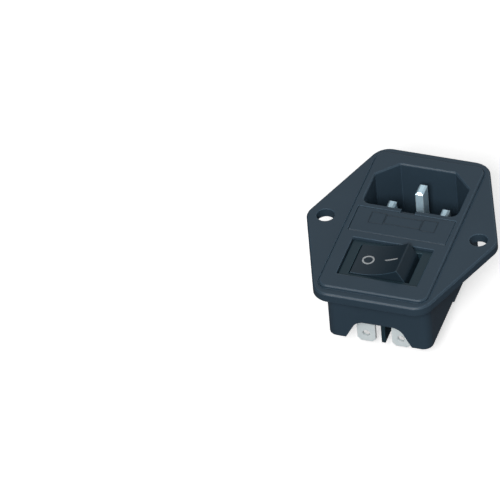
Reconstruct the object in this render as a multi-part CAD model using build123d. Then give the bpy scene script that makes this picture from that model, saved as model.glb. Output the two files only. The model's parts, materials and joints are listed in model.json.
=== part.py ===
from build123d import *
import os
from math import sqrt

# Panel-mounting power inlet: a three-pin socket, a fuse drawer and a two-pole rocker switch in one
# moulded housing with a screw flange. Millimetres. +Z leaves the front face, +X runs through the two
# screw holes and +Y points to the socket end. The origin lies midway between the screw holes, on the
# flange's back face, so that the panel's plane is z = 0 and everything behind the panel is at -Z.

# Flange and raised panel
flange_length = 56.6
flange_width = 50.2
flange_end_width = 28.4
flange_thickness = 2.5
flange_corner_radius = 5.0
flange_edge_bevel = 0.4
screw_spacing = 40.0
screw_hole_diameter = 4.6
panel_width = 28.4
panel_length = 51.9
panel_rise = 0.7
panel_corner_radius = 2.5
panel_edge_bevel = 0.3
panel_groove_width = 0.3
panel_groove_depth = 0.25

# Socket and its shroud
socket_width = 24.6
socket_height = 16.0
socket_centre_y = 14.2
socket_chamfer = 5.1
socket_corner_radius = 2.0
socket_depth = 16.4
socket_rim = 0.3
shroud_wall = 1.2
pry_notch_width = 3.8
pry_notch_depth = 1.2

# Back of the housing
body_depth = 16.1
body_corner_radius = 2.5
back_step = 1.4
back_step_y = 8.4
middle_cut_width = 5.2
middle_cut_end_y = 13.5
middle_slot_width = 3.4
middle_slot_length = 2.2
middle_slot_depth = 2.0
relief_width = 2.2
relief_length = 1.2
relief_depth = 2.2
pad_rise = 1.0
pad_edge_x = 4.4
pad_length = 7.3
blind_hole_diameter = 4.7
blind_hole_depth = 1.8
blind_hole_y = -0.9
disc_thickness = 0.4

# Pins and the tails that hold them
pin_thickness = 2.0
pin_width = 4.0
pin_pitch = 14.0
earth_offset = 4.0
live_pin_below_face = 5.1
earth_pin_below_face = 1.7
pin_point = 0.5
pin_seat = 1.2
tail_thickness = 1.4
tail_width = 1.6
stake_rise = 0.3
stake_slot = 0.35

# Bent tabs and the link bar on the back
strip_thickness = 0.8
foot_width = 6.0
foot_corner = 1.3
bend_radius = 0.3
tab_width = 4.8
tab_height = 5.4
tab_shoulder = 0.8
tab_point = 1.0
tab_hole_diameter = 2.1
tab_hole_from_tip = 2.6
neutral_foot_length = 5.2
fuse_foot_length = 4.3
earth_foot_length = 4.5
earth_tab_y = 18.1
fuse_tab_x = 9.1
fuse_tab_y = -2.9
foot_gap = 0.15
link_head_width = 6.6
link_neck_width = 5.4
link_end_y = -5.4
link_corner = 1.3

# Fuse drawer
drawer_centre_y = 0.1
drawer_face_width = 25.4
drawer_face_height = 9.0
drawer_face_thickness = 1.6
drawer_width = 22.8
drawer_height = 7.8
drawer_wall = 1.2
drawer_gap = 0.2
drawer_floor_gap = 2.2
drawer_seat_gap = 0.1
drawer_partition = 1.0
drawer_lip = 0.35
drawer_lip_reach = 0.8
drawer_edge_radius = 0.25
chamber_floor = 2.7

# Glass fuses, 5 x 20 mm
fuse_length = 20.0
fuse_cap_diameter = 5.2
fuse_cap_length = 5.2
fuse_cap_wall = 0.2
fuse_glass_diameter = 4.8
fuse_glass_wall = 0.6
fuse_wire_diameter = 0.3
fuse_gap = 0.1

# Spring clips for the live fuse
clip_sheet = 0.5
clip_length = 3.6
clip_x = 7.6
clip_base_width = 3.4
clip_flare = 0.5
clip_window_gap = 0.4
line_stake_x = -7.4
line_stake_y = -1.4
load_stake_x = 8.6
load_stake_y = 0.4
clip_tail_length = 1.2
clip_tail_width = 1.4

# Switch body and well
switch_centre_y = -13.9
bezel_width = 20.9
bezel_height = 13.9
bezel_thickness = 1.15
bezel_below_face = 0.7
bezel_gap = 0.1
bezel_edge = 0.25
block_width = 18.2
block_height = 12.5
block_gap = 0.15
block_base_below_rim = 3.2
chamber_width = 16.6
base_thickness = 0.7
well_width = 23.6
well_far_gap = 0.25
well_near_gap = 1.05
well_corner_radius = 2.0
well_wall = 1.45
front_wall_back = 1.0
notch_width_rim = 17.2
notch_width_bottom = 11.2
notch_depth = 5.6
notch_corner_radius = 3.2
barrier_thickness = 1.0
barrier_rise = 6.3
barrier_end_margin = 0.9
pocket_near = 1.5
pocket_far = 2.6
pocket_depth = 2.9
pocket_side_wall = 1.0
island_wall = 0.4
island_roof = 1.0
latch_width = 5.0
latch_rise = 0.6
latch_length = 2.6

# Rocker
pivot_below_panel = 2.1
rocker_throw = 26.0
rocker_width = 10.9
rocker_gap = 0.2
ridge_half_span = 6.3
ridge_height = 6.5
rocker_dish = 1.0
rocker_foot_half_span = 7.45
rocker_foot_height = 2.9
rocker_skirt_height = 0.7
rocker_wall = 1.2
rocker_lip_reach = 8.05
rocker_lip_top = 0.5
rocker_lip_bottom = -0.3
rocker_edge_radius = 0.25
rocker_opening_width = 15.8
cheek_half_span = 2.8
cheek_drop = 1.9
trunnion_diameter = 2.6
trunnion_gap = 0.05
trunnion_reach = 0.65

# Spring plungers in the rocker
plunger_offset = 4.1
plunger_diameter = 1.6
plunger_gap = 0.05
plunger_nose = 0.45
plunger_reach = 6.3
plunger_length = 4.1
tower_wall = 0.4
tower_reach = 4.6
bore_top = 3.8
spring_wire = 0.24
spring_turns = 4
spring_side_gap = 0.1
spring_end_gap = 0.05

# Switch terminals, contact arms and contacts
terminal_pitch = 9.1
terminal_offset = 4.65
terminal_sheet = 0.8
terminal_tab_width = 4.8
terminal_tab_length = 6.9
terminal_tab_point = 0.9
terminal_hole_diameter = 1.9
terminal_hole_from_tip = 2.5
terminal_shoulder_width = 6.2
terminal_shoulder_height = 0.7
shelf_width = 2.6
cradle_half_span = 0.9
arm_bearing_gap = 0.05
cradle_step = 1.0
arm_pivot_below_panel = 9.5
arm_tilt = 10.0
arm_width = 2.0
arm_offset = 4.2
arm_thickness = 0.5
arm_lift = 0.45
arm_bead_radius = 0.55
arm_far_reach = 7.1
arm_near_reach = 3.3
arm_seat_gap = 0.1
contact_reach = 6.0
contact_diameter = 1.8
moving_contact_height = 0.5
fixed_contact_height = 0.6

# Levels and places worked out from the sizes above
face_z = flange_thickness + panel_rise
socket_floor_z = face_z - socket_depth
back_z = -body_depth
step_z = back_z - back_step
socket_near_y = socket_centre_y - socket_height / 2
socket_far_y = socket_centre_y + socket_height / 2
pin_row_y = socket_centre_y - earth_offset / 2
earth_pin_y = socket_centre_y + earth_offset / 2
pin_x = pin_pitch / 2
body_half = socket_width / 2 + shroud_wall
well_near_y = switch_centre_y - block_height / 2 - well_near_gap
well_far_y = switch_centre_y + block_height / 2 + well_far_gap
body_end_y = well_near_y - well_wall
bezel_z = face_z - bezel_below_face
bezel_seat_z = bezel_z - bezel_thickness
block_base_z = back_z + block_base_below_rim
base_floor_z = block_base_z + base_thickness
pocket_z = block_base_z + pocket_depth
island_z = pocket_z + island_roof
pivot_z = -pivot_below_panel
arm_pivot_z = -arm_pivot_below_panel
rest_tilt = rocker_throw / 2
chamber_z = back_z + chamber_floor
drawer_end_z = chamber_z + drawer_floor_gap
drawer_face_z = face_z - drawer_face_thickness
fuse_radius = fuse_cap_diameter / 2
live_fuse_z = drawer_end_z + drawer_lip + fuse_gap + fuse_radius
partition_z = live_fuse_z + fuse_radius + fuse_gap
spare_fuse_z = partition_z + drawer_partition + fuse_gap + fuse_radius
foot_z = back_z - strip_thickness
pad_top_y = fuse_tab_y + pad_length


def block(x_low, x_high, y_low, y_high, z_low, z_high):
    """Box between two corners."""
    size = (x_high - x_low, y_high - y_low, z_high - z_low)
    centre = ((x_low + x_high) / 2, (y_low + y_high) / 2, (z_low + z_high) / 2)
    return Pos(*centre) * Box(*size)


def outline(points):
    """Flat face inside a closed chain of points."""
    return make_face(Polyline(*points, close=True))


def upright(face, y_low, y_high):
    """Solid from a face drawn in X and Z, between two places along Y."""
    return Pos(0, y_high, 0) * extrude(Plane.XZ * face, y_high - y_low)


def crosswise(face, x_low, x_high):
    """Solid from a face drawn in Y and Z, between two places along X."""
    return Pos(x_low, 0, 0) * extrude(Plane.YZ * face, x_high - x_low)


def tilted(shape, angle, height, y=0.0):
    """Turn a shape, modelled about its own pivot, by an angle about Y and put it on its pivot."""
    return Pos(0, y, height) * Rot(0, angle, 0) * shape


def socket_outline(grow):
    """Socket opening with two cut far corners, or the same line moved outwards."""
    half = socket_width / 2 + grow
    cut = socket_chamfer + grow * (2 - sqrt(2))
    near = socket_near_y - grow
    far = socket_far_y + grow
    points = [(-half, near), (half, near), (half, far - cut), (half - cut, far)]
    points += [(cut - half, far), (-half, far - cut)]
    return outline(points)


def body_outline():
    """Plan of the housing behind the panel: square at the switch end, cut at the socket end."""
    cut = socket_chamfer + shroud_wall * (2 - sqrt(2))
    far = socket_far_y + shroud_wall
    points = [(-body_half, body_end_y), (body_half, body_end_y), (body_half, far - cut)]
    points += [(body_half - cut, far), (cut - body_half, far), (-body_half, far - cut)]
    face = outline(points)
    return fillet(face.vertices().group_by(Axis.Y)[0], body_corner_radius)


def make_front():
    """Lozenge flange with rounded corners, its raised panel and the two screw holes."""
    half_end = flange_end_width / 2
    half_length = flange_length / 2
    half_width = flange_width / 2
    points = [(-half_end, -half_length), (half_end, -half_length), (half_width, 0)]
    points += [(half_end, half_length), (-half_end, half_length), (-half_width, 0)]
    lozenge = fillet(outline(points).vertices(), flange_corner_radius)
    flange = extrude(lozenge, flange_thickness)
    flange = chamfer(flange.edges().group_by(Axis.Z)[-1], flange_edge_bevel)
    panel = extrude(RectangleRounded(panel_width, panel_length, panel_corner_radius), face_z)
    panel = chamfer(panel.edges().group_by(Axis.Z)[-1], panel_edge_bevel)
    groove = panel_groove_width
    ditch = RectangleRounded(panel_width + 2 * groove, panel_length + 2 * groove,
                             panel_corner_radius + groove)
    flange -= Pos(0, 0, flange_thickness - panel_groove_depth) * extrude(ditch, flange_thickness)
    front = flange + panel
    for side in (-1, 1):
        hole = Cylinder(screw_hole_diameter / 2, 4 * flange_thickness)
        front -= Pos(side * screw_spacing / 2, 0, 0) * hole
    return front


def socket_space():
    """Everything that the socket leaves open: the well for the plug and its flared rim."""
    opening = socket_outline(0)
    opening = fillet(opening.vertices().group_by(Axis.Y)[0], socket_corner_radius)
    well = Pos(0, 0, socket_floor_z) * extrude(opening, socket_depth)
    flare = Pos(0, 0, face_z - socket_rim) * extrude(opening, socket_rim, taper=-45)
    half = pry_notch_width / 2
    strip_y = drawer_centre_y + drawer_face_height / 2
    notch = block(-half, half, strip_y, socket_near_y + socket_corner_radius,
                  face_z - pry_notch_depth, face_z + panel_rise)
    return well + flare + notch


def drawer_space():
    """Chamber for the drawer and the shallow seat for its face."""
    half = drawer_face_width / 2 + drawer_seat_gap
    high = drawer_face_height / 2 + drawer_seat_gap
    seat = block(-half, half, drawer_centre_y - high, drawer_centre_y + high,
                 drawer_face_z - drawer_seat_gap, face_z + panel_rise)
    half = drawer_width / 2 + drawer_gap
    high = drawer_height / 2 + drawer_gap
    chamber = block(-half, half, drawer_centre_y - high, drawer_centre_y + high, chamber_z, face_z)
    return seat + chamber


def switch_space():
    """Recess for the switch frame, the cut-out for its block and the open well behind it."""
    centre = Pos(0, switch_centre_y, 0)
    bezel = Rectangle(bezel_width + 2 * bezel_gap, bezel_height + 2 * bezel_gap)
    recess = Pos(0, 0, bezel_seat_z) * extrude(centre * bezel, face_z)
    cutout = Rectangle(block_width + 2 * block_gap, block_height + 2 * block_gap)
    passage = Pos(0, 0, back_z) * extrude(centre * cutout, body_depth + face_z)
    middle_y = (well_near_y + well_far_y) / 2
    plan = RectangleRounded(well_width, well_far_y - well_near_y, well_corner_radius)
    well_height = body_depth - front_wall_back
    well = Pos(0, middle_y, back_z) * extrude(plan, well_height)
    return recess + passage + well


def end_notch():
    """Trapezoid with well rounded corners in the end wall, where the leads leave the switch well."""
    rim = notch_width_rim / 2
    bottom = notch_width_bottom / 2
    top_z = back_z + notch_depth
    points = [(-rim, back_z), (rim, back_z), (bottom, top_z), (-bottom, top_z)]
    face = fillet(outline(points).vertices().group_by(Axis.Y)[-1], notch_corner_radius)
    return upright(face, body_end_y - well_wall, well_near_y + well_corner_radius / 2)


def pin_places():
    """Name, place and tip level of the three pins."""
    live_tip = face_z - live_pin_below_face
    earth_tip = face_z - earth_pin_below_face
    return [("line_pin", -pin_x, pin_row_y, live_tip, foot_z),
            ("neutral_pin", pin_x, pin_row_y, live_tip, foot_z),
            ("earth_pin", 0, earth_pin_y, earth_tip, step_z - strip_thickness)]


def tail(x, y, z_low, z_high):
    """Square tail of a pin or clip, between two levels."""
    half = tail_thickness / 2
    high = tail_width / 2
    return block(x - half, x + half, y - high, y + high, z_low, z_high)


def pin_space(x, y, z_low):
    """Hole that a pin and its tail fill in the socket's floor."""
    half = pin_thickness / 2
    high = pin_width / 2
    seat = block(x - half, x + half, y - high, y + high, socket_floor_z - pin_seat, socket_floor_z)
    return seat + tail(x, y, z_low, socket_floor_z)


def back_pads():
    """Raised socket back and the pad round the fuse tab's foot, before their pockets are cut."""
    plan = body_outline()
    keep = block(-body_half, body_half, back_step_y, socket_far_y + shroud_wall, step_z, back_z)
    raised = Pos(0, 0, step_z) * extrude(plan, back_step) & keep
    pad = block(pad_edge_x, body_half, fuse_tab_y, pad_top_y, back_z - pad_rise, back_z)
    return raised + pad


def back_pockets():
    """Pockets for the feet of the tabs and the link bar's head, with the cores beside them."""
    half = foot_width / 2 + foot_gap
    far = back_step_y + neutral_foot_length + foot_gap
    cuts = block(pin_x - half, pin_x + half, back_step_y, far, step_z, back_z)
    half = link_head_width / 2 + foot_gap
    cuts += block(-pin_x - half, half - pin_x, back_step_y, far, step_z, back_z)
    half = middle_cut_width / 2
    cuts += block(-half, half, back_step_y, middle_cut_end_y, step_z, back_z)
    half = middle_slot_width / 2
    cuts += block(-half, half, middle_cut_end_y - middle_slot_length, middle_cut_end_y,
                  step_z, back_z + middle_slot_depth)
    half = relief_width / 2
    for x in (pin_x - foot_corner / 2, foot_corner - pin_x):
        cuts += block(x - half, x + half, far, far + relief_length, step_z, step_z + relief_depth)
    half = foot_width / 2 + foot_gap
    far = fuse_tab_y + fuse_foot_length + foot_gap
    cuts += block(fuse_tab_x - half, fuse_tab_x + half, fuse_tab_y, far, back_z - pad_rise, back_z)
    return cuts


def make_housing():
    """The one moulding that carries everything else."""
    housing = make_front() + Pos(0, 0, back_z) * extrude(body_outline(), body_depth)
    housing += back_pads()
    housing -= back_pockets()
    housing -= socket_space()
    housing -= drawer_space()
    housing -= switch_space()
    housing -= end_notch()
    for name, x, y, tip_z, tail_z in pin_places():
        housing -= pin_space(x, y, tail_z)
    for x, y in clip_stakes():
        housing -= clip_tail(x, y, back_z - pad_rise, chamber_z)
    hole = Cylinder(blind_hole_diameter / 2, 2 * blind_hole_depth)
    housing -= Pos(0, blind_hole_y, back_z) * hole
    return housing


def make_pin(x, y, tip_z, tail_z):
    """Flat blade with a blunt point, a shoulder in the floor and a staked tail behind the strip."""
    half = pin_thickness / 2
    high = pin_width / 2
    blade = block(x - half, x + half, y - high, y + high, socket_floor_z - pin_seat, tip_z)
    blade = chamfer(blade.edges().group_by(Axis.Z)[-1], pin_point)
    end_z = tail_z - stake_rise
    shank = tail(x, y, end_z, socket_floor_z - pin_seat)
    slots = block(x - stake_slot / 2, x + stake_slot / 2, y - high, y + high, end_z, tail_z)
    slots += block(x - half, x + half, y - stake_slot / 2, y + stake_slot / 2, end_z, tail_z)
    return blade + shank - slots


def make_tab(foot_length):
    """Strip bent to an L: a foot on z = 0 that runs to +Y, and a tab that stands to -Z at y = 0."""
    tip = strip_thickness + tab_height
    shoulder = strip_thickness + tab_shoulder
    side = [(0, 0), (foot_length, 0), (foot_length, -strip_thickness)]
    side += [(strip_thickness, -strip_thickness), (strip_thickness, -tip), (0, -tip)]
    profile = outline(side)
    outer = profile.vertices().sort_by(lambda v: v.X ** 2 + v.Y ** 2)[0]
    profile = fillet(outer, bend_radius + strip_thickness)
    inner = profile.vertices().sort_by(
        lambda v: (v.X - strip_thickness) ** 2 + (v.Y + strip_thickness) ** 2)[0]
    profile = fillet(inner, bend_radius)
    half = foot_width / 2
    wide = tab_width / 2
    front = [(-half, 0), (half, 0), (half, -shoulder), (wide, -shoulder), (wide, tab_point - tip)]
    front += [(wide - tab_point, -tip), (tab_point - wide, -tip), (-wide, tab_point - tip)]
    front += [(-wide, -shoulder), (-half, -shoulder)]
    plan = [(-half, 0), (half, 0), (half, foot_length - foot_corner)]
    plan += [(half - foot_corner, foot_length), (foot_corner - half, foot_length)]
    plan += [(-half, foot_length - foot_corner)]
    bent = crosswise(profile, -half, half)
    bent &= upright(outline(front), 0, foot_length)
    bent &= Pos(0, 0, -tip) * extrude(outline(plan), tip)
    hole = Rot(90, 0, 0) * Cylinder(tab_hole_diameter / 2, 4 * strip_thickness)
    return bent - Pos(0, 0, tab_hole_from_tip - tip) * hole


def make_back_tabs():
    """The three bent tabs in place, each with the hole that its pin or clip is staked in."""
    neutral = Pos(pin_x, back_step_y, back_z) * make_tab(neutral_foot_length)
    neutral -= tail(pin_x, pin_row_y, foot_z, back_z)
    fuse = Pos(fuse_tab_x, fuse_tab_y, back_z) * make_tab(fuse_foot_length)
    fuse -= clip_tail(load_stake_x, load_stake_y, foot_z, back_z)
    earth = Pos(0, earth_tab_y, step_z) * Rot(0, 0, 180) * make_tab(earth_foot_length)
    earth -= tail(0, earth_pin_y, step_z - strip_thickness, step_z)
    return {"neutral_tab": neutral, "fuse_tab": fuse, "earth_tab": earth}


def make_link_bar():
    """Flat bar with a wider head: it carries the current from the line pin to the fuse."""
    right = -pin_x - link_head_width / 2
    head_left = right + link_head_width
    neck_left = right + link_neck_width
    far = back_step_y + neutral_foot_length
    cut = link_corner
    points = [(right, link_end_y + cut), (right + cut, link_end_y), (neck_left - cut, link_end_y)]
    points += [(neck_left, link_end_y + cut), (neck_left, back_step_y), (head_left, back_step_y)]
    points += [(head_left, far - cut), (head_left - cut, far), (right + cut, far), (right, far - cut)]
    bar = Pos(0, 0, foot_z) * extrude(outline(points), strip_thickness)
    bar -= tail(-pin_x, pin_row_y, foot_z, back_z)
    return bar - clip_tail(line_stake_x, line_stake_y, foot_z, back_z)


def clip_stakes():
    """Places where the two fuse clips are staked through the back."""
    return [(line_stake_x, line_stake_y), (load_stake_x, load_stake_y)]


def clip_tail(x, y, z_low, z_high):
    """Flat tail of a fuse clip, between two levels."""
    half = clip_tail_length / 2
    high = clip_tail_width / 2
    return block(x - half, x + half, y - high, y + high, z_low, z_high)


def make_clip(x, stake_x, stake_y):
    """Sprung clip: a base on the chamber's floor, two arms that hold the cap and a staked tail."""
    base = clip_base_width / 2
    grip = fuse_radius + fuse_gap
    low = chamber_z + clip_sheet
    high = live_fuse_z + fuse_radius / 2
    swell = live_fuse_z - fuse_radius
    line = [(0, chamber_z), (base, chamber_z), (grip + clip_sheet, swell)]
    line += [(grip + clip_sheet, high), (grip + clip_sheet + clip_flare, high + 2 * clip_flare)]
    line += [(grip + clip_flare, high + 2 * clip_flare), (grip, high), (grip, swell + clip_sheet)]
    line += [(base - clip_sheet, low), (0, low)]
    half = outline(line)
    arm = crosswise(half, x - clip_length / 2, x + clip_length / 2)
    clip = Pos(0, drawer_centre_y, 0) * (arm + mirror(arm, Plane.XZ))
    end_z = foot_z - stake_rise
    shank = clip_tail(stake_x, stake_y, end_z, chamber_z)
    reach = stake_slot / 2
    slot = block(stake_x - reach, stake_x + reach, stake_y - clip_tail_width,
                 stake_y + clip_tail_width, end_z, foot_z)
    return clip + shank - slot


def make_drawer():
    """Drawer with a closed box for the spare fuse and an open cradle for the live one."""
    y = drawer_centre_y
    half = drawer_face_width / 2
    high = drawer_face_height / 2
    face = block(-half, half, y - high, y + high, drawer_face_z, face_z)
    face = fillet(face.edges().group_by(Axis.Z)[-1], drawer_edge_radius)
    half = drawer_width / 2
    high = drawer_height / 2
    drawer = face + block(-half, half, y - high, y + high, drawer_end_z, drawer_face_z)
    inner = fuse_length / 2 + fuse_gap
    room = fuse_radius + fuse_gap
    bay_low = partition_z + drawer_partition
    bay_high = spare_fuse_z + room
    drawer -= block(-inner, inner, y - room, y + high, bay_low, bay_high)
    drawer -= block(-inner, inner, y - room, y + room, drawer_end_z + drawer_lip, partition_z)
    gap = room - drawer_lip_reach
    drawer -= block(-inner, inner, y - gap, y + gap, drawer_end_z, partition_z)
    window = clip_length / 2 + clip_window_gap
    for x in (-clip_x, clip_x):
        drawer -= block(x - window, x + window, y - high, y + high, drawer_end_z, partition_z)
    return drawer


def make_fuse(prefix, z):
    """Glass tube, two turned-in caps and the fuse wire between them."""
    axis = Pos(0, drawer_centre_y, z) * Rot(0, 90, 0)
    inside = fuse_cap_diameter / 2 - fuse_cap_wall
    bore = fuse_glass_diameter / 2 - fuse_glass_wall
    glass_length = fuse_length - 2 * fuse_cap_wall
    parts = {}
    tube = Cylinder(fuse_glass_diameter / 2, glass_length) - Cylinder(bore, glass_length)
    parts[prefix + "_glass"] = axis * tube
    wire_length = fuse_length - 4 * fuse_cap_wall
    parts[prefix + "_wire"] = axis * Cylinder(fuse_wire_diameter / 2, wire_length)
    for end, name in ((-1, "_cap_line"), (1, "_cap_load")):
        cup = Cylinder(fuse_radius, fuse_cap_length)
        cup -= Pos(0, 0, -end * fuse_cap_wall) * Cylinder(inside, fuse_cap_length)
        middle = end * (fuse_length - fuse_cap_length) / 2
        parts[prefix + name] = axis * Pos(0, 0, middle) * cup
    return parts


def make_switch_body():
    """Switch frame and block: a chamber for the mechanism in front, a barrier and bays behind."""
    half = block_width / 2
    high = block_height / 2
    frame = Pos(0, 0, bezel_seat_z) * extrude(Rectangle(bezel_width, bezel_height), bezel_thickness)
    frame = chamfer(frame.edges().group_by(Axis.Z)[-1], bezel_edge)
    body = frame + block(-half, half, -high, high, block_base_z, bezel_seat_z)
    room = rocker_width / 2 + rocker_gap
    open_half = rocker_opening_width / 2
    body -= block(-open_half, open_half, -room, room, base_floor_z, face_z)
    chamber_half = chamber_width / 2
    body -= block(-chamber_half, chamber_half, -room, room, base_floor_z, bezel_seat_z)
    wall = island_wall
    body += block(-chamber_half, chamber_half, -pocket_near - wall, pocket_far + wall,
                  base_floor_z, island_z)
    reach = half - pocket_side_wall
    fin = barrier_thickness / 2
    for low, top in ((-reach, -fin), (fin, reach)):
        body -= block(low, top, -pocket_near, pocket_far, block_base_z, pocket_z)
    end = high - barrier_end_margin
    body += block(-fin, fin, -end, high, block_base_z - barrier_rise, block_base_z)
    for side in (-1, 1):
        body += make_latch(side)
        for pole in (-1, 1):
            body -= stem(side * terminal_pitch / 2, pole, block_base_z, base_floor_z)
    hole = Rot(90, 0, 0) * Cylinder(trunnion_diameter / 2 + trunnion_gap, 2 * block_height)
    body -= Pos(0, 0, pivot_z) * hole
    return Pos(0, switch_centre_y, 0) * body


def make_latch(side):
    """Wedge on the block's end that snaps behind the housing's front wall."""
    start = block_width / 2
    top = -front_wall_back - block_gap
    points = [(side * start, top), (side * (start + latch_rise), top)]
    points += [(side * start, top - latch_length)]
    return upright(outline(points), -latch_width / 2, latch_width / 2)


def stem(x, pole, z_low, z_high):
    """Part of a terminal's strip that passes through the block's floor, or the hole for it."""
    half = terminal_tab_width / 2
    sheet = terminal_sheet / 2
    y = pole * terminal_offset
    return block(x - half, x + half, y - sheet, y + sheet, z_low, z_high)


def make_terminal(side, pole):
    """Switch terminal: a 4.8 mm tab behind, and a shelf or a cradle inside."""
    x = side * terminal_pitch / 2
    y = pole * terminal_offset
    sheet = terminal_sheet / 2
    half = terminal_tab_width / 2
    wide = terminal_shoulder_width / 2
    tip = block_base_z - terminal_tab_length
    shoulder = block_base_z - terminal_shoulder_height
    cut = terminal_tab_point
    points = [(x - wide, block_base_z), (x + wide, block_base_z), (x + wide, shoulder)]
    points += [(x + half, shoulder), (x + half, tip + cut), (x + half - cut, tip)]
    points += [(x - half + cut, tip), (x - half, tip + cut), (x - half, shoulder)]
    points += [(x - wide, shoulder)]
    terminal = upright(outline(points), y - sheet, y + sheet)
    terminal += stem(x, pole, block_base_z, base_floor_z)
    hole = Rot(90, 0, 0) * Cylinder(terminal_hole_diameter / 2, 4 * terminal_sheet)
    terminal -= Pos(x, y, tip + terminal_hole_from_tip) * hole
    if side < 0:
        low, high = sorted((pole * (arm_offset - arm_width / 2), y + pole * sheet))
        reach = contact_reach + shelf_width / 2
        terminal += block(-reach, x + half, low, high, base_floor_z, base_floor_z + terminal_sheet)
        return terminal
    seat = arm_pivot_z - arm_seat_gap
    lug = cradle_half_span
    edge = x + half
    low = seat - cradle_step
    points = [(-lug, base_floor_z), (edge, base_floor_z), (edge, low), (2 * lug, low)]
    points += [(lug, seat), (-lug, seat)]
    cradle = upright(outline(points), y - sheet, y + sheet)
    round_seat = Rot(90, 0, 0) * Cylinder(arm_bead_radius + arm_bearing_gap, 4 * terminal_sheet)
    return terminal + (cradle - Pos(0, y, arm_pivot_z) * round_seat)


def make_arm(pole):
    """See-saw contact arm, flat but for the round bead that it rocks on, tipped as when off."""
    base = arm_lift
    top = arm_lift + arm_thickness
    points = [(-arm_far_reach, base), (arm_near_reach, base), (arm_near_reach, top)]
    points += [(arm_lift, top), (0, arm_thickness), (-arm_lift, top), (-arm_far_reach, top)]
    arm = upright(outline(points), -arm_width / 2, arm_width / 2)
    bead = Rot(90, 0, 0) * Cylinder(arm_bead_radius, arm_width)
    arm += bead & block(-arm_far_reach, arm_near_reach, -arm_width, arm_width, -top, base)
    return tilted(arm, arm_tilt, arm_pivot_z, pole * arm_offset)


def make_contacts(pole):
    """Moving contact under the arm's free end and the fixed contact on the shelf below it."""
    y = pole * arm_offset
    button = Cylinder(contact_diameter / 2, moving_contact_height)
    button = Pos(-contact_reach, 0, arm_lift - moving_contact_height / 2) * button
    moving = tilted(button, arm_tilt, arm_pivot_z, y)
    shelf_z = base_floor_z + terminal_sheet
    pad = Cylinder(contact_diameter / 2, fixed_contact_height)
    fixed = Pos(-contact_reach, y, shelf_z + fixed_contact_height / 2) * pad
    return moving, fixed


def rocker_profile():
    """Side of the rocker about its pivot, level: dished top, sloping ends and a lip at the foot."""
    ridge = (ridge_half_span, ridge_height)
    far_ridge = (-ridge_half_span, ridge_height)
    foot = (rocker_foot_half_span, rocker_foot_height)
    far_foot = (-rocker_foot_half_span, rocker_foot_height)
    top = ThreePointArc(far_ridge, (0, ridge_height - rocker_dish), ridge)
    rim = [(rocker_foot_half_span, rocker_skirt_height), (rocker_lip_reach, rocker_lip_top)]
    rim += [(rocker_lip_reach, rocker_lip_bottom), (-rocker_lip_reach, rocker_lip_bottom)]
    rim += [(-rocker_lip_reach, rocker_lip_top), (-rocker_foot_half_span, rocker_skirt_height)]
    chain = Polyline(ridge, foot, *rim, far_foot, far_ridge)
    return make_face([top, chain])


def make_rocker():
    """Hollow rocker with cheeks, trunnions and two towers that guide the spring plungers."""
    high = rocker_width / 2
    shell = upright(rocker_profile(), -high, high)
    shell = fillet(shell.edges().filter_by(Axis.Y).group_by(Axis.Z)[-1], rocker_edge_radius)
    inner = high - rocker_wall
    roof = ridge_height - rocker_dish - rocker_wall
    hollow_half = rocker_foot_half_span - rocker_wall
    crown = ridge_half_span - rocker_wall
    low = 2 * rocker_lip_bottom
    points = [(-hollow_half, low), (hollow_half, low), (hollow_half, rocker_foot_height)]
    points += [(crown, roof), (-crown, roof), (-hollow_half, rocker_foot_height)]
    shell -= upright(outline(points), -inner, inner)
    outer = rocker_width / 2 + trunnion_reach
    axle = Rot(90, 0, 0) * Cylinder(trunnion_diameter / 2, 2 * outer)
    rocker = shell + (axle - block(-outer, outer, -inner, inner, -outer, outer))
    radius = plunger_diameter / 2 + plunger_gap
    for side in (-1, 1):
        y = side * plunger_offset
        low, top = sorted((side * inner, side * high))
        rocker += block(-cheek_half_span, cheek_half_span, low, top, -cheek_drop, rocker_skirt_height)
        tower = Cylinder(radius + tower_wall, roof + tower_reach)
        rocker += Pos(0, y, (roof - tower_reach) / 2) * tower
        bore = Cylinder(radius, bore_top + tower_reach)
        rocker -= Pos(0, y, (bore_top - tower_reach) / 2) * bore
    return tilted(rocker, -rest_tilt, pivot_z, switch_centre_y)


def make_plunger(pole):
    """Pin with a bevelled nose that the spring pushes onto the contact arm."""
    radius = plunger_diameter / 2
    rod = Cylinder(radius, plunger_length)
    rod = chamfer(rod.edges().group_by(Axis.Z)[0], plunger_nose)
    plunger = Pos(0, 0, plunger_length / 2 - plunger_reach) * rod
    return tilted(plunger, -rest_tilt, pivot_z, switch_centre_y + pole * plunger_offset)


def make_spring(pole):
    """Coil spring between the plunger and the blind end of its bore, with a four-sided wire."""
    low = plunger_length - plunger_reach + spring_end_gap + spring_wire
    high = bore_top - spring_end_gap - spring_wire
    radius = plunger_diameter / 2 - spring_side_gap - spring_wire / 2
    height = high - low
    coil = Helix(pitch=height / spring_turns, height=height, radius=radius)
    start = Plane(origin=coil @ 0, z_dir=coil % 0)
    wire = sweep(start * RegularPolygon(spring_wire / 2, 4), path=coil, is_frenet=True)
    return tilted(Pos(0, 0, low) * wire, -rest_tilt, pivot_z, switch_centre_y + pole * plunger_offset)


def make_recess_disc():
    """Pale disc that closes the bottom of the round hole in the back."""
    level = back_z + blind_hole_depth - disc_thickness / 2
    return Pos(0, blind_hole_y, level) * Cylinder(blind_hole_diameter / 2, disc_thickness)


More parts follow.
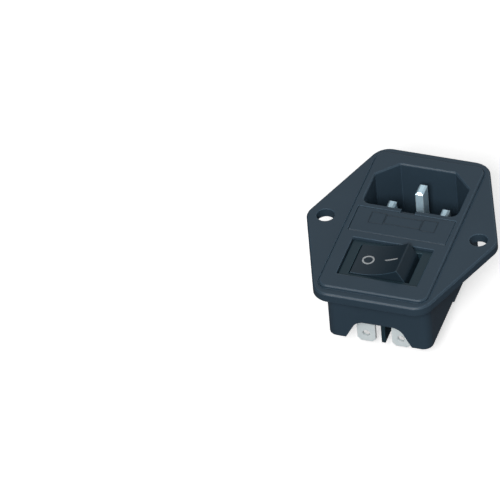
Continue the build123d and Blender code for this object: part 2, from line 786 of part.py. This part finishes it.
def make_switch_parts():
    """Switch body, rocker, terminals and the mechanism of both poles."""
    parts = {"switch_body": make_switch_body(), "rocker": make_rocker()}
    centre = Pos(0, switch_centre_y, 0)
    for pole, word in ((1, "inner"), (-1, "outer")):
        parts["fixed_terminal_" + word] = centre * make_terminal(-1, pole)
        parts["common_terminal_" + word] = centre * make_terminal(1, pole)
        parts["contact_arm_" + word] = centre * make_arm(pole)
        moving, fixed = make_contacts(pole)
        parts["moving_contact_" + word] = centre * moving
        parts["fixed_contact_" + word] = centre * fixed
        parts["plunger_" + word] = make_plunger(pole)
        parts["plunger_spring_" + word] = make_spring(pole)
    return parts


def make_parts():
    """Every node of the product by name."""
    parts = {"housing": make_housing(), "fuse_drawer": make_drawer()}
    for name, x, y, tip_z, tail_z in pin_places():
        parts[name] = make_pin(x, y, tip_z, tail_z)
    parts.update(make_back_tabs())
    parts["link_bar"] = make_link_bar()
    parts["recess_disc"] = make_recess_disc()
    parts["line_clip"] = make_clip(-clip_x, line_stake_x, line_stake_y)
    parts["load_clip"] = make_clip(clip_x, load_stake_x, load_stake_y)
    parts.update(make_fuse("live_fuse", live_fuse_z))
    parts.update(make_fuse("spare_fuse", spare_fuse_z))
    parts.update(make_switch_parts())
    return parts


os.makedirs("parts", exist_ok=True)
for node, shape in make_parts().items():
    export_step(shape, f"parts/{node}.step")
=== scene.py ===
"""Looks of a panel power inlet: moulded plastic, plated metal, printed marks, springs, stage and camera."""

import json

import bpy
import numpy as np
from mathutils import Matrix, Vector


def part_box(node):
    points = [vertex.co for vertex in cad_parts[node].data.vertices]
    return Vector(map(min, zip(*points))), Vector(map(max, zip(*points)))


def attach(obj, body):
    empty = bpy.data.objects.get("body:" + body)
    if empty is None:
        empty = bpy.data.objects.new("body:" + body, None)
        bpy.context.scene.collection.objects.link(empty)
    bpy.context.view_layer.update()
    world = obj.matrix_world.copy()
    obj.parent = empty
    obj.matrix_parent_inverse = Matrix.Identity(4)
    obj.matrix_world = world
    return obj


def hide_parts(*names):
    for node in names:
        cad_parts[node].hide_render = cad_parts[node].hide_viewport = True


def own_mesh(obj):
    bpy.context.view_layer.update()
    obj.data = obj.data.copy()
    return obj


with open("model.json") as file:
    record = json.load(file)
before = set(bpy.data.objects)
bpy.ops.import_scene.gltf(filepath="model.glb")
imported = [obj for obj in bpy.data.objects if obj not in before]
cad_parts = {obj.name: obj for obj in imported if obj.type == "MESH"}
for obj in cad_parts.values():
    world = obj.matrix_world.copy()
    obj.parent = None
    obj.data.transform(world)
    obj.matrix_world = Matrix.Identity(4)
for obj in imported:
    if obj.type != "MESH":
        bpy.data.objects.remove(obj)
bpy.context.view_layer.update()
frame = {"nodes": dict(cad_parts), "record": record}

bl_info = {
    "name": "Power Inlet Socket",
    "version": (1, 0, 0),
    "blender": (4, 5, 0),
    "location": "View3D > Sidebar > Power Inlet",
    "description": "Dresses the power inlet socket and sets its stage",
    "category": "Object",
}

MM = 0.001
WHITE = (1.0, 1.0, 1.0, 1.0)
SENSOR_WIDTH_MM = 36.0
CLIP_FACTOR = 4

# Side along Y and name of each pole of the switch
POLES = ((1, "inner"), (-1, "outer"))
TAB_TIP = min(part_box(node)[0][2] for node in frame["nodes"])
SLOT_OF = {part["node"]: part["material_slot"] for part in frame["record"]["subparts"]}


# Settings

def number(name, description, default):
    """Setting that is a plain number."""
    return bpy.props.FloatProperty(name=name, description=description, default=default)


def length(name, description, default):
    """Setting that is a length in metres."""
    return bpy.props.FloatProperty(name=name, description=description, default=default, unit="LENGTH")


def colour(name, description, default):
    """Setting that is a colour."""
    return bpy.props.FloatVectorProperty(
        name=name, description=description, default=default, size=3, subtype="COLOR")


def place(name, description, default):
    """Setting that is a point in metres."""
    return bpy.props.FloatVectorProperty(
        name=name, description=description, default=default, size=3, subtype="TRANSLATION")


def direction(name, description, default):
    """Setting that is a direction."""
    return bpy.props.FloatVectorProperty(
        name=name, description=description, default=default, size=3, subtype="DIRECTION")


class StageSettings(bpy.types.PropertyGroup):
    """Camera, floor and light."""

    target: place("Target", "Point that the camera looks at", (-0.03548, -0.01411, -0.0003))
    forward: direction("Forward", "Direction in which the camera looks", (-0.272, 0.698, -0.662))
    up: direction("Up", "Direction that is up in the picture", (-0.1581, 0.6464, 0.7464))
    distance: length("Distance", "Camera to target", 2.5)
    lens: number("Lens", "Focal length in millimetres", 722.0)
    floor_size: length("Floor size", "Side of the square floor", 12.0)
    floor_colour: colour("Floor colour", "Floor's colour where it is seen", (0.90, 0.90, 0.90))
    floor_bounce: colour("Floor bounce", "Floor's colour for the light it throws back", (0.13, 0.13, 0.14))
    floor_glow: number("Floor glow", "Light added to the floor where it is seen", 0.50)
    sky_strength: number("Sky strength", "Strength of the even light from all sides", 0.36)
    sky_gloss: number("Sky gloss", "Strength of the sky in reflections at the right", 0.78)
    sky_dim: number("Sky dim", "Strength of the sky in reflections at the left", 0.0)
    sky_left: number("Sky left", "Sideways direction at which the reflected sky is dimmest", -0.68)
    sky_right: number("Sky right", "Sideways direction at which the reflected sky is brightest", -0.22)
    key_place: place("Key place", "Place of the lamp that lights the front", (0.18, -0.94, 0.77))
    key_size: length("Key size", "Side of the square key lamp", 0.35)
    key_power: number("Key power", "Power of the key lamp in watts", 10.8)
    rim_place: place("Rim place", "Place of the lamp that shines only in gloss", (-0.32, -0.79, 0.84))
    rim_size: length("Rim size", "Side of the square rim lamp", 0.2)
    rim_power: number("Rim power", "Power of the rim lamp in watts", 5.0)


class FinishSettings(bpy.types.PropertyGroup):
    """Colours and grain of the surfaces."""

    plastic: colour("Plastic", "Moulded housing and drawer", (0.030, 0.052, 0.074))
    switch: colour("Switch", "Switch frame and block", (0.015, 0.034, 0.046))
    rocker: colour("Rocker", "Rocker and plungers", (0.014, 0.027, 0.039))
    disc: colour("Disc", "Disc in the back's round hole", (0.26, 0.33, 0.47))
    mark: colour("Mark", "Printed marks on the rocker", (0.42, 0.45, 0.47))
    plating: colour("Plating", "Plated pins", (0.60, 0.82, 1.0))
    tin: colour("Tin", "Tin-plated tabs, link bar and switch terminals", (0.85, 0.97, 1.0))
    bronze: colour("Bronze", "Spring clips and contact arms", (0.62, 0.50, 0.28))
    silver: colour("Silver", "Contacts", (0.80, 0.80, 0.78))
    cap: colour("Cap", "Fuses' end caps", (0.68, 0.69, 0.70))
    wire: colour("Wire", "Wire in the fuses", (0.60, 0.58, 0.52))
    steel: colour("Steel", "Plungers' springs", (0.55, 0.56, 0.58))
    glass: colour("Glass", "Fuses' tubes", (0.93, 0.97, 0.97))
    grain: length("Grain", "Size of the moulded surface's grain", 0.35 * MM)


class MarkSettings(bpy.types.PropertyGroup):
    """Sizes of the marks, in metres about the rocker's pivot or on the drawer's face."""

    pivot: place("Pivot", "Rocker's pivot", (0.0, -13.9 * MM, -2.1 * MM))
    tilt: bpy.props.FloatProperty(
        name="Tilt", description="Rocker's angle at rest", default=np.radians(-13.0), subtype="ANGLE")
    ridge_span: length("Ridge span", "Half the distance between the rocker's ridges", 6.3 * MM)
    ridge_height: length("Ridge height", "Height of a ridge over the pivot", 6.5 * MM)
    dish: length("Dish", "Depth of the rocker's hollow top", 1.0 * MM)
    mark_x: length("Mark place", "Distance of each mark from the middle", 3.15 * MM)
    ring_radius: length("Ring radius", "Middle radius of the ring", 1.36 * MM)
    stroke: length("Stroke", "Width of the ring's line", 0.46 * MM)
    dash_length: length("Dash length", "Length of the dash", 3.6 * MM)
    dash_width: length("Dash width", "Width of the dash", 0.42 * MM)
    ink: length("Ink", "How far a mark stands above the surface", 0.03 * MM)
    symbol_centre: length("Symbol centre", "Place of the fuse symbol along Y", 1.2 * MM)
    symbol_tube: bpy.props.FloatVectorProperty(
        name="Symbol tube", description="Half length and half width of the symbol's middle", size=2,
        unit="LENGTH", default=(4.65 * MM, 1.6 * MM))
    symbol_cap: bpy.props.FloatVectorProperty(
        name="Symbol cap", description="Outer end and half width of the symbol's end caps", size=2,
        unit="LENGTH", default=(8.6 * MM, 2.0 * MM))
    symbol_line: length("Symbol line", "Width of the symbol's raised line", 0.2 * MM)
    symbol_rise: length("Symbol rise", "Height of the symbol's raised line", 0.06 * MM)
    symbol_shade: number("Symbol shade", "Brightness of the symbol against the plastic", 0.8)


class CoilSettings(bpy.types.PropertyGroup):
    """Sizes of the plungers' coil springs, in metres about the rocker's pivot."""

    offset: length("Offset", "Distance of each spring from the rocker's middle", 4.1 * MM)
    radius: length("Radius", "Middle radius of a coil", 0.58 * MM)
    wire: length("Wire", "Diameter of the wire", 0.24 * MM)
    low: length("Low", "Middle of the wire next to the plunger", -1.91 * MM)
    high: length("High", "Middle of the wire next to the bore's blind end", 3.51 * MM)
    seat: length("Seat", "Height of the bore's blind end", 3.8 * MM)
    travel: length("Travel", "How far the plunger presses the spring", 0.8 * MM)
    turns: bpy.props.IntProperty(name="Turns", description="Turns of the wire", default=4)


# Shapes

def grid_faces(rows, columns, wrap_rows, wrap_columns):
    """Quads of a grid of rows by columns points, joined end to end where a side wraps."""
    i = np.arange(rows if wrap_rows else rows - 1)
    j = np.arange(columns if wrap_columns else columns - 1)
    a, b = np.meshgrid(i, j, indexing="ij")
    c = (a + 1) % rows
    d = (b + 1) % columns
    quads = np.stack([a * columns + b, c * columns + b, c * columns + d, a * columns + d], axis=-1)
    return quads.reshape(-1, 4)


def new_object(name, points, faces, material):
    """Mesh object at the origin, with its place in its mesh."""
    mesh = bpy.data.meshes.new(name)
    mesh.from_pydata(points.tolist(), [], faces.tolist())
    mesh.validate()
    mesh.update()
    mesh.materials.append(material)
    obj = bpy.data.objects.new(name, mesh)
    bpy.context.scene.collection.objects.link(obj)
    return obj


def new_piece(name, points, faces, material, body, slot):
    """Mesh object that rides on a body; the slot it is given is not used."""
    obj = new_object(name, points, faces, material)
    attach(obj, body)
    return obj


def on_rocker(points, marks):
    """Points about the rocker's pivot, turned to its angle at rest and set on the pivot."""
    turn = Matrix.Rotation(marks.tilt, 3, "Y")
    return points @ np.array(turn).T + np.array(marks.pivot)


def dish_height(x, marks):
    """Height over the pivot of the rocker's top: an arc through both ridges, lowest in the middle."""
    radius = (marks.ridge_span ** 2 + marks.dish ** 2) / (2 * marks.dish)
    return marks.ridge_height - marks.dish + radius - np.sqrt(radius ** 2 - x ** 2)


def ring_points(marks, steps=96):
    """Ring: centre + (r cos t, r sin t), r between two radii, its height following the dish."""
    t = np.linspace(0.0, 2 * np.pi, steps, endpoint=False)[:, None]
    half = marks.stroke / 2
    r = marks.ring_radius + np.array([half, half, -half, -half])[None, :]
    lift = np.array([-1.0, 1.0, 1.0, -1.0])[None, :] * marks.ink
    x = -marks.mark_x + r * np.cos(t)
    y = r * np.sin(t)
    z = dish_height(x, marks) + lift
    return np.stack([x, y, z], axis=-1).reshape(-1, 3), grid_faces(steps, r.shape[1], True, True)


def dash_points(marks, steps=24):
    """Dash: x runs along its length, a four-cornered section follows the dish."""
    x = marks.mark_x + np.linspace(-0.5, 0.5, steps)[:, None] * marks.dash_length
    half = marks.dash_width / 2
    y = np.array([half, half, -half, -half])[None, :] + 0 * x
    z = dish_height(x, marks) + np.array([1.0, -1.0, -1.0, 1.0])[None, :] * marks.ink
    points = np.stack([x + 0 * y, y, z], axis=-1).reshape(-1, 3)
    corners = y.shape[1]
    quads = grid_faces(steps, corners, False, True)
    end = np.arange(corners)
    return points, np.vstack([quads, end[::-1], end + (steps - 1) * corners])


def coil_points(coils, side, steps=129, corners=8):
    """Coil: centre (r cos t, r sin t, rising evenly) with t over all turns, a round wire section about it."""
    u = np.linspace(0.0, 1.0, steps)[:, None]
    t = 2 * np.pi * coils.turns * u
    corner = np.linspace(0.0, 2 * np.pi, corners, endpoint=False)[None, :]
    r = coils.radius + coils.wire / 2 * np.cos(corner)
    z = coils.low + (coils.high - coils.low) * u + coils.wire / 2 * np.sin(corner)
    points = np.stack([r * np.cos(t), side * coils.offset + r * np.sin(t), z], axis=-1).reshape(-1, 3)
    quads = grid_faces(steps, corners, False, True)
    end = np.array([[0, k, k + 1, k + 2] for k in range(1, corners - 1, 2)])
    return points, np.vstack([quads, end[:, ::-1], end + (steps - 1) * corners])


def bar(x_low, x_high, y_low, y_high, z_low, z_high):
    """Eight corners of a thin bar and its six faces, pointing outwards."""
    x, y, z = np.meshgrid([x_low, x_high], [y_low, y_high], [z_low, z_high], indexing="ij")
    points = np.stack([x, y, z], axis=-1).reshape(-1, 3)
    faces = np.array([[0, 1, 3, 2], [4, 6, 7, 5], [0, 4, 5, 1], [2, 3, 7, 6], [0, 2, 6, 4], [1, 5, 7, 3]])
    return points, faces


def frame_lines(x_low, x_high, y_low, y_high, half, z_low, z_high):
    """Rectangle drawn with four bars of one width, around its nominal lines."""
    sides = [(x_low - half, x_high + half, y_low - half, y_low + half),
             (x_low - half, x_high + half, y_high - half, y_high + half),
             (x_low - half, x_low + half, y_low + half, y_high - half),
             (x_high - half, x_high + half, y_low + half, y_high - half)]
    return [bar(*side, z_low, z_high) for side in sides]


def joined(pieces):
    """One set of points and faces from several."""
    counts = np.cumsum([0] + [len(points) for points, faces in pieces[:-1]])
    points = np.vstack([points for points, faces in pieces])
    faces = np.vstack([faces + count for (points, faces), count in zip(pieces, counts)])
    return points, faces


# Materials

# Moulded plastic; a scale counts the noise's waves in a metre
FLOW_SCALE = 90.0
FLOW_SHADES = (0.93, 1.07)
# Edges where the rounded normal leaves the true one past this dot get the painted highlight
PLASTIC_EDGE_DOT = 0.86
PLASTIC_SPECULAR = 0.22
PLASTIC_GLOSS = (-0.05, 0.05)
PLASTIC_BUMP = {"strength": 0.10, "distance": 0.02 * MM}

# Plated metal
MOTTLE_SCALE = 700.0
MOTTLE_SHADES = (0.90, 1.10)
# Metal edges get a painted highlight, this much brighter, where the rounded normal leaves the true one past
# this dot
METAL_EDGE_DOT = 0.88
METAL_EDGE_RADIUS = 0.12 * MM
METAL_EDGE_HIGHLIGHT_GAIN = 1.5
METAL_GLOSS = (-0.06, 0.10)
METAL_BUMP = {"strength": 0.12, "distance": 0.01 * MM}

# Fuse glass
WAVE_SCALE = 400.0
GLASS_ROUGHNESS = 0.05
GLASS_BUMP = {"strength": 0.05, "distance": 0.02 * MM}

# Floor paper
PAPER_SCALE = 300.0
PAPER_BUMP = {"strength": 0.03, "distance": 0.02 * MM}


def shade(base, gain):
    """Colour made brighter or darker, at most white."""
    return tuple(min(1.0, gain * channel) for channel in base)


class Nodes:
    """Short hand for building the node tree of a material or world."""

    # Sockets of a mix node that blends colours
    mix_colours = slice(6, 8)
    mix_result = 2

    def __init__(self, owner, output="ShaderNodeOutputMaterial"):
        self.owner = owner
        owner.use_nodes = True
        self.tree = owner.node_tree
        self.tree.nodes.clear()
        self.out = self.add(output)

    def add(self, kind, inputs=None, **attributes):
        """New node; an input, by name or number, gets a value or a link from another node's output."""
        node = self.tree.nodes.new(kind)
        for key, value in attributes.items():
            setattr(node, key, value)
        for key, value in (inputs or {}).items():
            if isinstance(value, bpy.types.NodeSocket):
                self.tree.links.new(value, node.inputs[key])
            else:
                node.inputs[key].default_value = value
        return node

    def finish(self, surface):
        """Link the surface to the output and return the material or world."""
        self.tree.links.new(surface, self.out.inputs["Surface"])
        return self.owner

    def where(self):
        """Point of the surface in the object's own coordinates."""
        return self.add("ShaderNodeTexCoord").outputs["Object"]

    def noise(self, vector, scale, detail=2.0):
        """Noise between 0 and 1."""
        inputs = {"Vector": vector, "Scale": scale, "Detail": detail}
        return self.add("ShaderNodeTexNoise", inputs).outputs["Fac"]

    def spread(self, value, low, high, start=0.0, end=1.0):
        """Value between start and end, mapped to between low and high."""
        inputs = {"Value": value, "From Min": start, "From Max": end, "To Min": low, "To Max": high}
        return self.add("ShaderNodeMapRange", inputs).outputs["Result"]

    def blend(self, factor, first, second):
        """Colour between two; each is a colour or another node's output."""
        node = self.add("ShaderNodeMix", {0: factor}, data_type="RGBA")
        for target, value in zip(node.inputs[self.mix_colours], (first, second)):
            if isinstance(value, bpy.types.NodeSocket):
                self.tree.links.new(value, target)
            else:
                target.default_value = (*value, 1.0)
        return node.outputs[self.mix_result]

    def bump(self, height, strength, distance, normal=None):
        """Normal bent by a height, about the true normal or a given one."""
        inputs = {"Height": height, "Strength": strength, "Distance": distance}
        if normal is not None:
            inputs["Normal"] = normal
        return self.add("ShaderNodeBump", inputs).outputs["Normal"]

    def edges(self, radius, edge_dot, flat_dot=0.995, samples=6):
        """Rounded normal, and 0 on flats to 1 on edges: how far that normal leaves the true one."""
        rounded = self.add("ShaderNodeBevel", {"Radius": radius}, samples=samples).outputs["Normal"]
        true = self.add("ShaderNodeNewGeometry").outputs["Normal"]
        dot = self.add("ShaderNodeVectorMath", {0: rounded, 1: true}, operation="DOT_PRODUCT")
        return rounded, self.spread(dot.outputs["Value"], 1.0, 0.0, start=edge_dot, end=flat_dot)

    def seen(self, *kinds):
        """1 for camera rays and those of the named kinds, 0 for the light that spreads."""
        path = self.add("ShaderNodeLightPath")
        total = path.outputs["Is Camera Ray"]
        for kind in kinds:
            inputs = {0: total, 1: path.outputs[kind]}
            total = self.add("ShaderNodeMath", inputs, operation="MAXIMUM").outputs["Value"]
        return total


def moulded(name, base, grain, roughness=0.40, edge_highlight_gain=2.2, edge_radius=0.35 * MM):
    """Moulded plastic: fine grain, faint flow shade and a painted highlight on the edges."""
    nodes = Nodes(bpy.data.materials.new(name))
    where = nodes.where()
    fine = nodes.noise(where, scale=1.0 / grain, detail=3.0)
    flow = nodes.blend(nodes.noise(where, FLOW_SCALE), *[shade(base, gain) for gain in FLOW_SHADES])
    rounded, highlight_mask = nodes.edges(edge_radius, PLASTIC_EDGE_DOT)
    # Painted highlight: the base colour is made brighter towards the edges
    shader = nodes.add("ShaderNodeBsdfPrincipled", {
        "Base Color": nodes.blend(highlight_mask, flow, shade(base, edge_highlight_gain)),
        "Roughness": nodes.spread(fine, *[roughness + step for step in PLASTIC_GLOSS]),
        "Normal": nodes.bump(fine, normal=rounded, **PLASTIC_BUMP),
        "Specular IOR Level": PLASTIC_SPECULAR})
    return nodes.finish(shader.outputs["BSDF"])


def plated(name, base, metallic=0.75, roughness=0.3, streak=(6000.0, 6000.0, 400.0)):
    """Plated sheet or pin: drawn streaks, faint mottling and a painted highlight on the edges."""
    nodes = Nodes(bpy.data.materials.new(name))
    where = nodes.where()
    stretched = nodes.add("ShaderNodeMapping", {"Vector": where, "Scale": streak}).outputs["Vector"]
    lines = nodes.noise(stretched, scale=1.0)
    mottle = nodes.blend(nodes.noise(where, MOTTLE_SCALE), *[shade(base, gain) for gain in MOTTLE_SHADES])
    rounded, highlight_mask = nodes.edges(METAL_EDGE_RADIUS, METAL_EDGE_DOT)
    # Painted highlight: the base colour is made brighter towards the edges
    shader = nodes.add("ShaderNodeBsdfPrincipled", {
        "Base Color": nodes.blend(highlight_mask, mottle, shade(base, METAL_EDGE_HIGHLIGHT_GAIN)),
        "Roughness": nodes.spread(lines, *[roughness + step for step in METAL_GLOSS]),
        "Normal": nodes.bump(lines, normal=rounded, **METAL_BUMP),
        "Metallic": metallic})
    return nodes.finish(shader.outputs["BSDF"])


def clear_glass(name, base):
    """Fuse glass: clear tube with faint waviness."""
    nodes = Nodes(bpy.data.materials.new(name))
    wave = nodes.noise(nodes.where(), WAVE_SCALE)
    shader = nodes.add("ShaderNodeBsdfPrincipled", {
        "Base Color": (*base, 1.0),
        "Roughness": GLASS_ROUGHNESS,
        "Normal": nodes.bump(wave, **GLASS_BUMP),
        "Transmission Weight": 1.0})
    return nodes.finish(shader.outputs["BSDF"])


def floor_paper(stage):
    """Pale paper, bright where it is seen and darker for the light that it throws back."""
    nodes = Nodes(bpy.data.materials.new("floor_paper"))
    seen = nodes.seen("Is Transmission Ray")
    grain = nodes.noise(nodes.where(), PAPER_SCALE)
    paper = nodes.add("ShaderNodeBsdfDiffuse", {
        "Color": nodes.blend(seen, stage.floor_bounce, stage.floor_colour),
        "Normal": nodes.bump(grain, **PAPER_BUMP)})
    strength = nodes.add("ShaderNodeMath", {0: seen, 1: stage.floor_glow}, operation="MULTIPLY")
    glow = nodes.add("ShaderNodeEmission", {"Strength": strength.outputs["Value"]})
    both = nodes.add("ShaderNodeAddShader", {0: paper.outputs["BSDF"], 1: glow.outputs["Emission"]})
    return nodes.finish(both.outputs["Shader"])


def dress(slot, material):
    """Give every CAD node of a material slot its finish."""
    for node, obj in frame["nodes"].items():
        if SLOT_OF[node] == slot:
            obj.data.materials.clear()
            obj.data.materials.append(material)


# Stage

def add_floor(stage):
    """Flat pale floor under the tabs' tips."""
    half = stage.floor_size / 2
    corners = np.array([[x * half, y * half, TAB_TIP] for x, y in ((-1, -1), (1, -1), (1, 1), (-1, 1))])
    new_object("floor", corners, np.array([[0, 1, 2, 3]]), floor_paper(stage))


def add_world(stage):
    """Even pale light from all sides; in reflections it fades from the right to the left."""
    nodes = Nodes(bpy.data.worlds.new("studio"), "ShaderNodeOutputWorld")
    light = nodes.add("ShaderNodeBackground", {"Color": WHITE, "Strength": stage.sky_strength})
    towards = nodes.add("ShaderNodeTexCoord").outputs["Generated"]
    sideways = nodes.add("ShaderNodeSeparateXYZ", {"Vector": towards}).outputs["X"]
    fade = nodes.spread(sideways, stage.sky_dim, stage.sky_gloss, stage.sky_left, stage.sky_right)
    mirrored = nodes.add("ShaderNodeBackground", {"Color": WHITE, "Strength": fade})
    seen = nodes.seen("Is Glossy Ray", "Is Transmission Ray")
    mix = nodes.add("ShaderNodeMixShader", {
        0: seen, 1: light.outputs["Background"], 2: mirrored.outputs["Background"]})
    bpy.context.scene.world = nodes.finish(mix.outputs["Shader"])


def add_lamp(name, point, size, power):
    """Square soft lamp that points at the origin."""
    lamp = bpy.data.lights.new(name, "AREA")
    lamp.size = size
    lamp.energy = power
    obj = bpy.data.objects.new(name, lamp)
    obj.location = point
    obj.rotation_euler = (-Vector(point)).to_track_quat("-Z", "Y").to_euler()
    bpy.context.scene.collection.objects.link(obj)
    return obj


def add_lamps(stage):
    """Key lamp from the near right, and a rim lamp that is seen only as gloss on the near edges."""
    add_lamp("key", stage.key_place, stage.key_size, stage.key_power)
    rim = add_lamp("rim", stage.rim_place, stage.rim_size, stage.rim_power)
    rim.visible_diffuse = False


def add_camera(stage):
    """Long lens from far off, which is nearly the photograph's parallel view."""
    forward = Vector(stage.forward).normalized()
    right = forward.cross(Vector(stage.up)).normalized()
    up = right.cross(forward)
    turn = Matrix((right, up, -forward)).transposed().to_4x4()
    turn.translation = Vector(stage.target) - forward * stage.distance
    camera = bpy.data.cameras.new("camera")
    camera.lens = stage.lens
    camera.sensor_width = SENSOR_WIDTH_MM
    camera.clip_end = CLIP_FACTOR * stage.distance
    obj = bpy.data.objects.new("camera", camera)
    obj.matrix_world = turn
    bpy.context.scene.collection.objects.link(obj)
    bpy.context.scene.camera = obj


# Operators, panel and run

class Stage(bpy.types.Operator):
    """Set the floor, the light and the camera"""

    bl_idname = "inlet.stage"
    bl_label = "Stage"

    def execute(self, context):
        stage = context.scene.inlet_stage
        add_floor(stage)
        add_world(stage)
        add_lamps(stage)
        add_camera(stage)
        context.scene.view_settings.view_transform = "Standard"
        return {"FINISHED"}


class MouldedPlastic(bpy.types.Operator):
    """Finish the housing, drawer, switch body, rocker, plungers and recess disc in moulded plastic"""

    bl_idname = "inlet.moulded_plastic"
    bl_label = "Moulded Plastic"

    def execute(self, context):
        finish = context.scene.inlet_finish
        # Each look's edge gain sets how much brighter the painted highlight on the edges is
        for slot, base, look in (
                ("housing", finish.plastic, {}),
                ("drawer", finish.plastic, {"edge_highlight_gain": 1.3}),
                ("switch", finish.switch, {}),
                ("rocker", finish.rocker, {"roughness": 0.36, "edge_highlight_gain": 3.2, "edge_radius": 0.3 * MM}),
                ("disc", finish.disc, {})):
            dress(slot, moulded(slot + "_plastic", base, finish.grain, **look))
        return {"FINISHED"}


class PlatedMetal(bpy.types.Operator):
    """Finish the pins, tabs, clips, arms, contacts, fuse caps and fuse wires in metal"""

    bl_idname = "inlet.plated_metal"
    bl_label = "Plated Metal"

    def execute(self, context):
        finish = context.scene.inlet_finish
        for slot, name, base, look in (
                ("pin", "pin_nickel", finish.plating, {"metallic": 0.35}),
                ("tab", "tab_tin", finish.tin, {"metallic": 0.15, "roughness": 0.38}),
                ("clip", "clip_bronze", finish.bronze, {}),
                ("contact", "contact_silver", finish.silver, {"roughness": 0.25}),
                ("fuse_cap", "cap_nickel", finish.cap, {"metallic": 0.9, "roughness": 0.2}),
                ("fuse_wire", "fuse_wire_metal", finish.wire, {})):
            dress(slot, plated(name, base, **look))
        return {"FINISHED"}


class FuseGlass(bpy.types.Operator):
    """Finish the fuses' tubes in clear glass"""

    bl_idname = "inlet.fuse_glass"
    bl_label = "Fuse Glass"

    def execute(self, context):
        dress("fuse_glass", clear_glass("fuse_tube_glass", context.scene.inlet_finish.glass))
        return {"FINISHED"}


class RockerMarks(bpy.types.Operator):
    """Print the ring and the dash on the rocker's hollow top"""

    bl_idname = "inlet.rocker_marks"
    bl_label = "Rocker Marks"

    def execute(self, context):
        marks = context.scene.inlet_marks
        finish = context.scene.inlet_finish
        ink = moulded("mark_ink", finish.mark, finish.grain, roughness=0.5, edge_highlight_gain=1.0)
        for name, (points, faces) in (("off_ring", ring_points(marks)), ("on_dash", dash_points(marks))):
            new_piece(name, on_rocker(points, marks), faces, ink, "rocker", "rocker")
        return {"FINISHED"}


class FuseSymbol(bpy.types.Operator):
    """Raise the fuse symbol on the drawer's face: a long box between two wider end boxes"""

    bl_idname = "inlet.fuse_symbol"
    bl_label = "Fuse Symbol"

    def execute(self, context):
        marks = context.scene.inlet_marks
        finish = context.scene.inlet_finish
        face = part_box("fuse_drawer")[1][2]
        levels = (face - marks.symbol_rise, face + marks.symbol_rise)
        line = marks.symbol_line
        tube, tube_half = marks.symbol_tube
        cap, cap_half = marks.symbol_cap
        y = marks.symbol_centre
        bars = frame_lines(-tube, tube, y - tube_half, y + tube_half, line / 2, *levels)
        for low, high in ((-cap, -tube - line), (tube + line, cap)):
            bars += frame_lines(low, high, y - cap_half, y + cap_half, line / 2, *levels)
        base = shade(finish.plastic, marks.symbol_shade)
        plastic = moulded("symbol_plastic", base, finish.grain, edge_highlight_gain=1.0)
        new_piece("fuse_symbol", *joined(bars), plastic, "drawer", "drawer")
        return {"FINISHED"}


class PlungerCoils(bpy.types.Operator):
    """Wind the plungers' springs from round wire"""

    bl_idname = "inlet.plunger_coils"
    bl_label = "Plunger Coils"

    def execute(self, context):
        marks = context.scene.inlet_marks
        coils = context.scene.inlet_coils
        steel = plated("spring_steel", context.scene.inlet_finish.steel, roughness=0.25)
        for side, word in POLES:
            points, faces = coil_points(coils, side)
            coil = new_piece("coil_" + word, on_rocker(points, marks), faces, steel, "rocker", "spring")
            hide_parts("plunger_spring_" + word)
            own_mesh(coil)
        return {"FINISHED"}


class InletPanel(bpy.types.Panel):
    """Lists the steps that dress the inlet"""

    bl_idname = "VIEW3D_PT_inlet"
    bl_label = "Power Inlet"
    bl_space_type = "VIEW_3D"
    bl_region_type = "UI"
    bl_category = "Power Inlet"

    def draw(self, context):
        for step in STEPS:
            self.layout.operator(step.bl_idname)


STEPS = (Stage, MouldedPlastic, PlatedMetal, FuseGlass, RockerMarks, FuseSymbol, PlungerCoils)
SETTINGS = {"inlet_stage": StageSettings, "inlet_finish": FinishSettings, "inlet_marks": MarkSettings,
            "inlet_coils": CoilSettings}


def register():
    """Register the settings, steps and panel."""
    for kind in (*SETTINGS.values(), *STEPS, InletPanel):
        bpy.utils.register_class(kind)
    for name, kind in SETTINGS.items():
        setattr(bpy.types.Scene, name, bpy.props.PointerProperty(type=kind))


def unregister():
    """Remove what register added."""
    for name in SETTINGS:
        delattr(bpy.types.Scene, name)
    for kind in (InletPanel, *reversed(STEPS), *reversed(list(SETTINGS.values()))):
        bpy.utils.unregister_class(kind)


def main():
    """Run every step in order."""
    register()
    bpy.ops.inlet.stage()
    bpy.ops.inlet.moulded_plastic()
    bpy.ops.inlet.plated_metal()
    bpy.ops.inlet.fuse_glass()
    bpy.ops.inlet.rocker_marks()
    bpy.ops.inlet.fuse_symbol()
    bpy.ops.inlet.plunger_coils()


if __name__ == "__main__":
    main()
